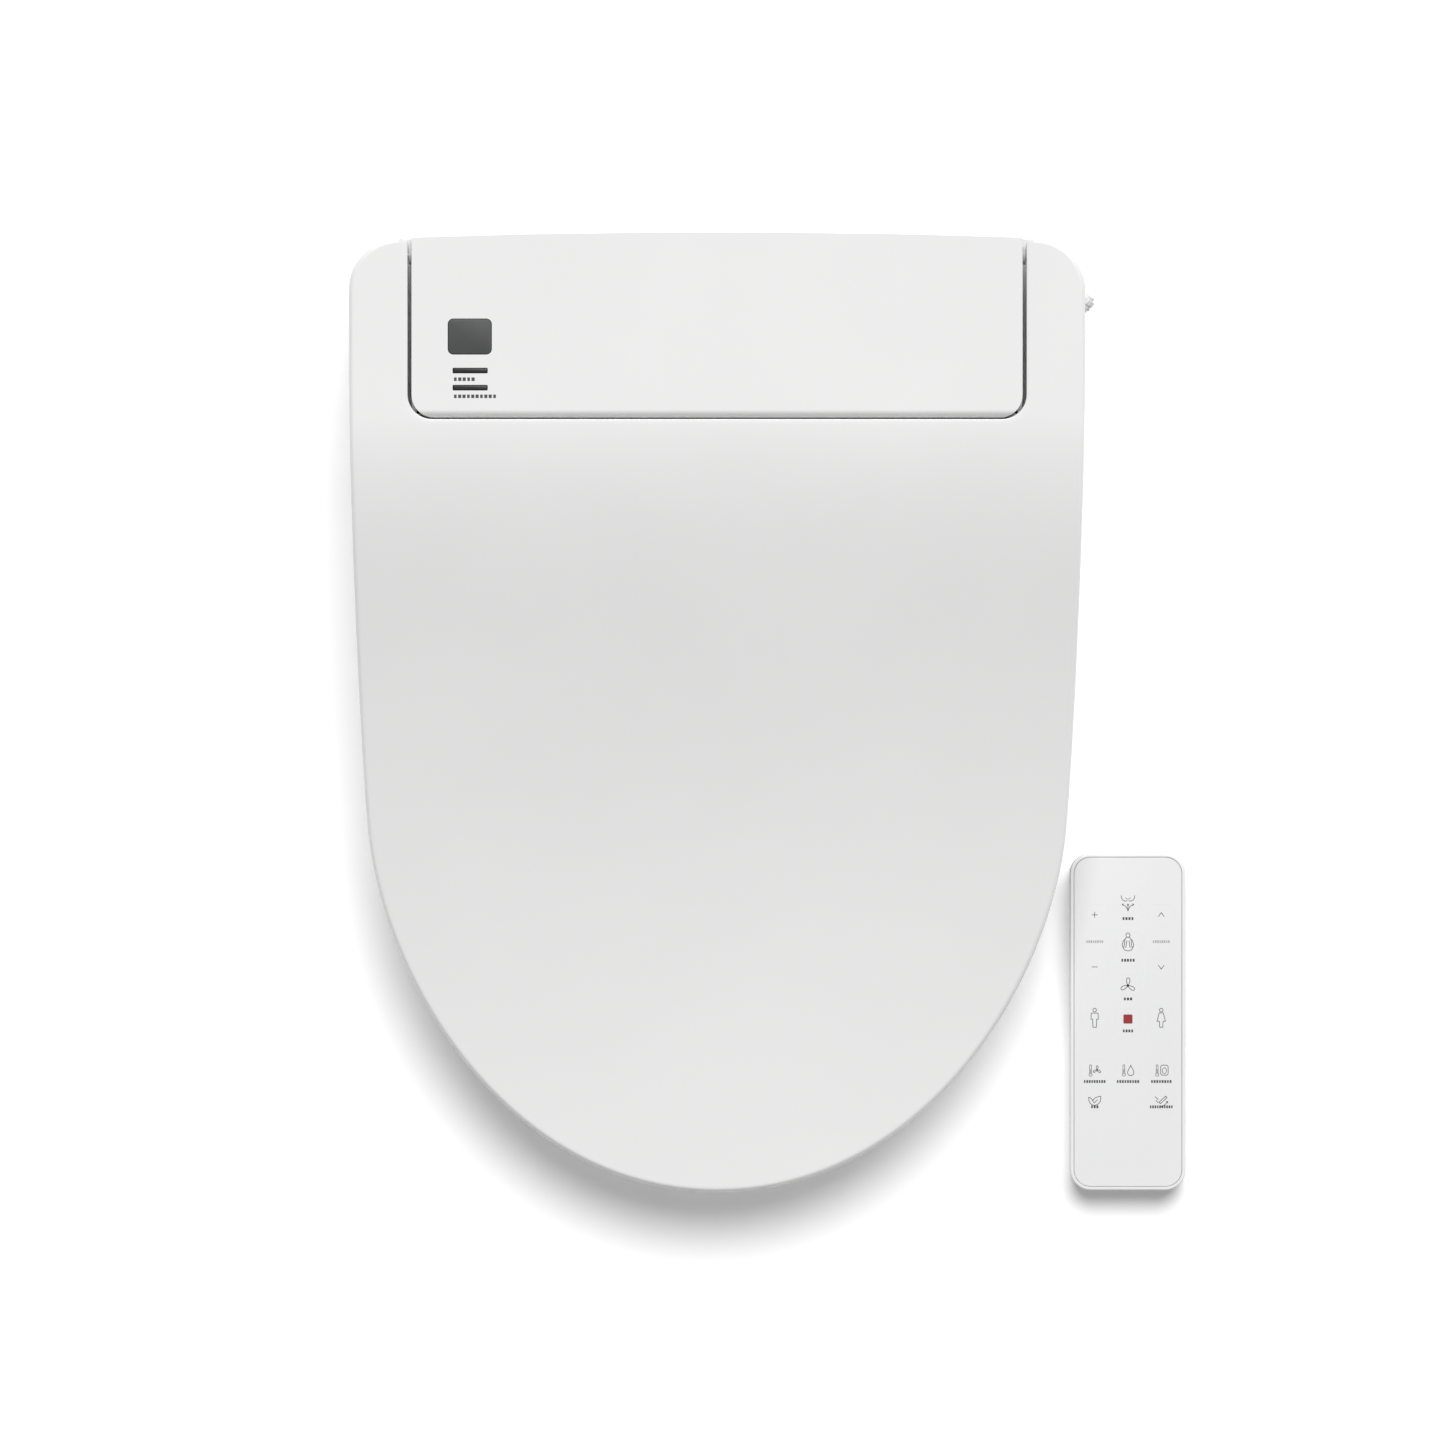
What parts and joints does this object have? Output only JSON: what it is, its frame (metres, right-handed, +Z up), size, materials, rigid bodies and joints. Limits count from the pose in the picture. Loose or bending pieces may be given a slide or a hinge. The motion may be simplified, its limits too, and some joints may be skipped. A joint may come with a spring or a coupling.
{
  "type": "electric bidet seat",
  "caption": "Electric bidet seat with a rear housing, a U-shaped lid round its flush top panel, a heated seat ring, an extending wash wand, a warm-air dryer and a slim hand remote.",
  "frame": {"origin": "on the mounting plate's underside, which is the bowl rim plane, midway between the two bowl bolts", "axes": "+Z up from the bowl rim, -Y towards the nose of the seat, +X to the right seen from the front of the bowl looking back at the housing with the nose nearest"},
  "size_m": [0.4479, 0.5123, 0.11],
  "materials": {
    "steel": "brushed",
    "white_gloss": "gloss",
    "seat_white": "gloss",
    "grey_plastic": "satin",
    "smoked_lens": "gloss",
    "black_gloss": "gloss",
    "circuit_green": "matt",
    "works_grey": "matt",
    "motor_metal": "satin",
    "black_matte": "matt",
    "rubber_grey": "matt",
    "heater_foil": "satin",
    "silver_satin": "satin metallic paint",
    "face_grey": "satin"
  },
  "bodies": {
    "housing": {"mounting_plate": "steel", "housing_base": "white_gloss", "housing_cover": "white_gloss", "inlet_nut": "white_gloss", "water_inlet": "grey_plastic", "hinge_collar_left": "grey_plastic", "hinge_collar_right": "grey_plastic", "signal_window": "smoked_lens", "power_light": "black_gloss", "saver_light": "black_gloss", "control_board": "circuit_green", "inlet_valve": "works_grey", "water_heater": "works_grey", "nozzle_cradle": "works_grey", "dryer_housing": "works_grey", "seat_damper": "works_grey", "lid_damper": "works_grey", "wand_motor": "motor_metal", "dryer_motor": "motor_metal", "cord_gland": "rubber_grey"},
    "seat_ring": {"seat_shaft": "steel", "seat_top": "seat_white", "seat_base": "seat_white", "seat_heater": "heater_foil", "seat_foot_1": "rubber_grey", "seat_foot_2": "rubber_grey", "seat_foot_3": "rubber_grey", "seat_foot_4": "rubber_grey"},
    "lid": {"lid_shaft": "steel", "lid_shell": "white_gloss", "lid_pad_left": "rubber_grey", "lid_pad_right": "rubber_grey"},
    "latch": {"release_button": "grey_plastic"},
    "wand": {"nozzle_wand": "white_gloss"},
    "pinion": {"wand_pinion": "grey_plastic"},
    "impeller": {"dryer_impeller": "black_matte"},
    "air_flap": {"dryer_flap": "grey_plastic"},
    "remote": {"remote_back": "silver_satin", "remote_bezel": "white_gloss", "remote_face": "face_grey", "remote_window": "black_gloss", "remote_board": "circuit_green", "battery_left": "motor_metal", "battery_right": "motor_metal"},
    "battery_cover": {"battery_door": "silver_satin"},
    "key_rear_wash": {"key_rear_wash": "face_grey"},
    "key_front_wash": {"key_front_wash": "face_grey"},
    "key_dry": {"key_dry": "face_grey"},
    "key_stop": {"key_stop": "face_grey"},
    "key_pressure_up": {"key_pressure_up": "face_grey"},
    "key_pressure_down": {"key_pressure_down": "face_grey"},
    "key_position_up": {"key_position_up": "face_grey"},
    "key_position_down": {"key_position_down": "face_grey"},
    "key_user_one": {"key_user_one": "face_grey"},
    "key_user_two": {"key_user_two": "face_grey"},
    "key_dryer_heat": {"key_dryer_heat": "face_grey"},
    "key_water_heat": {"key_water_heat": "face_grey"},
    "key_seat_heat": {"key_seat_heat": "face_grey"},
    "key_saver": {"key_saver": "face_grey"},
    "key_swing": {"key_swing": "face_grey"}
  },
  "joints": [
    {"name": "seat_hinge", "type": "hinge", "parent": "housing", "child": "seat_ring", "pos_m": [0, 0.0548, 0.098], "axis": [-1, 0, 0], "range_deg": [0, 100]},
    {"name": "lid_hinge", "type": "hinge", "parent": "seat_ring", "child": "lid", "pos_m": [0, 0.0548, 0.098], "axis": [1, 0, 0], "range_deg": [-105, 0]},
    {"name": "latch_push", "type": "slide", "parent": "housing", "child": "latch", "axis": [1, 0, 0], "range_m": [-0.004, 0], "stiffness_N_per_m": 500},
    {"name": "wand_slide", "type": "slide", "parent": "housing", "child": "wand", "axis": [0, -0.9659, -0.2588], "range_m": [0, 0.075]},
    {"name": "pinion_turn", "type": "hinge", "parent": "housing", "child": "pinion", "pos_m": [0, -0.03063, 0.04813], "axis": [-1, 0, 0], "range_deg": [0, 478]},
    {"name": "impeller_spin", "type": "hinge", "parent": "housing", "child": "impeller", "pos_m": [0.076, 0.002, 0.02], "axis": [0, 0, 1], "continuous": true},
    {"name": "air_flap_hinge", "type": "hinge", "parent": "housing", "child": "air_flap", "pos_m": [0.04, -0.09075, 0.0219], "axis": [-1, 0, 0], "range_deg": [0, 60]},
    {"name": "remote_lift", "type": "slide", "parent": "housing", "child": "remote", "axis": [0, 0, 1], "range_m": [0, 0.25]},
    {"name": "battery_cover_slide", "type": "slide", "parent": "remote", "child": "battery_cover", "axis": [0, -1, 0], "range_m": [0, 0.055]},
    {"name": "press_rear_wash", "type": "slide", "parent": "remote", "child": "key_rear_wash", "axis": [0, 0, 1], "range_m": [-0.0004, 0], "stiffness_N_per_m": 500},
    {"name": "press_front_wash", "type": "slide", "parent": "remote", "child": "key_front_wash", "axis": [0, 0, 1], "range_m": [-0.0004, 0], "stiffness_N_per_m": 500},
    {"name": "press_dry", "type": "slide", "parent": "remote", "child": "key_dry", "axis": [0, 0, 1], "range_m": [-0.0004, 0], "stiffness_N_per_m": 500},
    {"name": "press_stop", "type": "slide", "parent": "remote", "child": "key_stop", "axis": [0, 0, 1], "range_m": [-0.0004, 0], "stiffness_N_per_m": 500},
    {"name": "press_pressure_up", "type": "slide", "parent": "remote", "child": "key_pressure_up", "axis": [0, 0, 1], "range_m": [-0.0004, 0], "stiffness_N_per_m": 500},
    {"name": "press_pressure_down", "type": "slide", "parent": "remote", "child": "key_pressure_down", "axis": [0, 0, 1], "range_m": [-0.0004, 0], "stiffness_N_per_m": 500},
    {"name": "press_position_up", "type": "slide", "parent": "remote", "child": "key_position_up", "axis": [0, 0, 1], "range_m": [-0.0004, 0], "stiffness_N_per_m": 500},
    {"name": "press_position_down", "type": "slide", "parent": "remote", "child": "key_position_down", "axis": [0, 0, 1], "range_m": [-0.0004, 0], "stiffness_N_per_m": 500},
    {"name": "press_user_one", "type": "slide", "parent": "remote", "child": "key_user_one", "axis": [0, 0, 1], "range_m": [-0.0004, 0], "stiffness_N_per_m": 500},
    {"name": "press_user_two", "type": "slide", "parent": "remote", "child": "key_user_two", "axis": [0, 0, 1], "range_m": [-0.0004, 0], "stiffness_N_per_m": 500},
    {"name": "press_dryer_heat", "type": "slide", "parent": "remote", "child": "key_dryer_heat", "axis": [0, 0, 1], "range_m": [-0.0004, 0], "stiffness_N_per_m": 500},
    {"name": "press_water_heat", "type": "slide", "parent": "remote", "child": "key_water_heat", "axis": [0, 0, 1], "range_m": [-0.0004, 0], "stiffness_N_per_m": 500},
    {"name": "press_seat_heat", "type": "slide", "parent": "remote", "child": "key_seat_heat", "axis": [0, 0, 1], "range_m": [-0.0004, 0], "stiffness_N_per_m": 500},
    {"name": "press_saver", "type": "slide", "parent": "remote", "child": "key_saver", "axis": [0, 0, 1], "range_m": [-0.0004, 0], "stiffness_N_per_m": 500},
    {"name": "press_swing", "type": "slide", "parent": "remote", "child": "key_swing", "axis": [0, 0, 1], "range_m": [-0.0004, 0], "stiffness_N_per_m": 500}
  ],
  "couplings": [
    {"joint": "pinion_turn", "follows": "wand_slide", "rad_per_m": 111.11}
  ]
}
